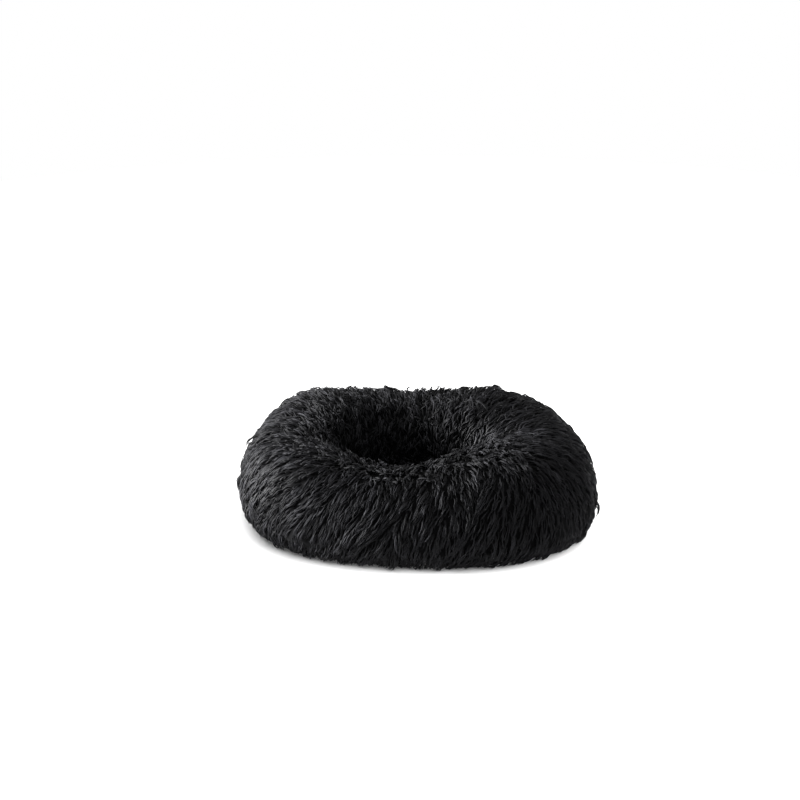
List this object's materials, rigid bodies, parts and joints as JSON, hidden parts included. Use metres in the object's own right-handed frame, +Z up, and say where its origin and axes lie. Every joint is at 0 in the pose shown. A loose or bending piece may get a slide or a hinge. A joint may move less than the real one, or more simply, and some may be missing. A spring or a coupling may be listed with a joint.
{
  "type": "donut pet bed",
  "caption": "Round pet bed: a stuffed fur-covered ring round a soft sunken nest, on a flat cloth base, with a zip at the foot of the cover.",
  "frame": {"origin": "middle of the base panel's underside, on the floor", "axes": "+Z up, -Y towards the front of the bed, +X to the right seen from the front; the zip is at the back (+Y)"},
  "size_m": [0.575, 0.5788, 0.1626],
  "materials": {
    "fur": "long shaggy faux fur, near black",
    "oxford_cloth": "coated plain weave, black",
    "bag_cloth": "thin white non-woven cloth",
    "polyester_fibre": "loose white fibre",
    "zip_chain": "moulded teeth on woven tape, black",
    "black_enamel": "black enamelled zinc"
  },
  "bodies": {
    "bed": {"cover_front": "fur", "cover_back": "fur", "nest_panel": "fur", "base_panel": "oxford_cloth", "bolster_bag": "bag_cloth", "bolster_filling": "polyester_fibre", "cushion_bag": "bag_cloth", "cushion_filling": "polyester_fibre", "zip_chain_upper": "zip_chain", "zip_chain_lower": "zip_chain", "zip_top_stop_upper": "black_enamel", "zip_top_stop_lower": "black_enamel", "zip_bottom_stop": "black_enamel"},
    "slider": {"zip_slider": "black_enamel"},
    "pull": {"zip_pull": "black_enamel"}
  },
  "joints": [
    {"name": "zip_slide", "type": "hinge", "parent": "bed", "child": "slider", "pos_m": [0, 0, 0.0112], "axis": [0, 0, 1], "range_deg": [0, 78.5], "deforming": ["zip_chain_upper", "zip_chain_lower"]},
    {"name": "pull_swing", "type": "hinge", "parent": "slider", "child": "pull", "pos_m": [0.14048, 0.16698, 0.0112], "axis": [0, 0, -1], "range_deg": [0, 170]}
  ]
}
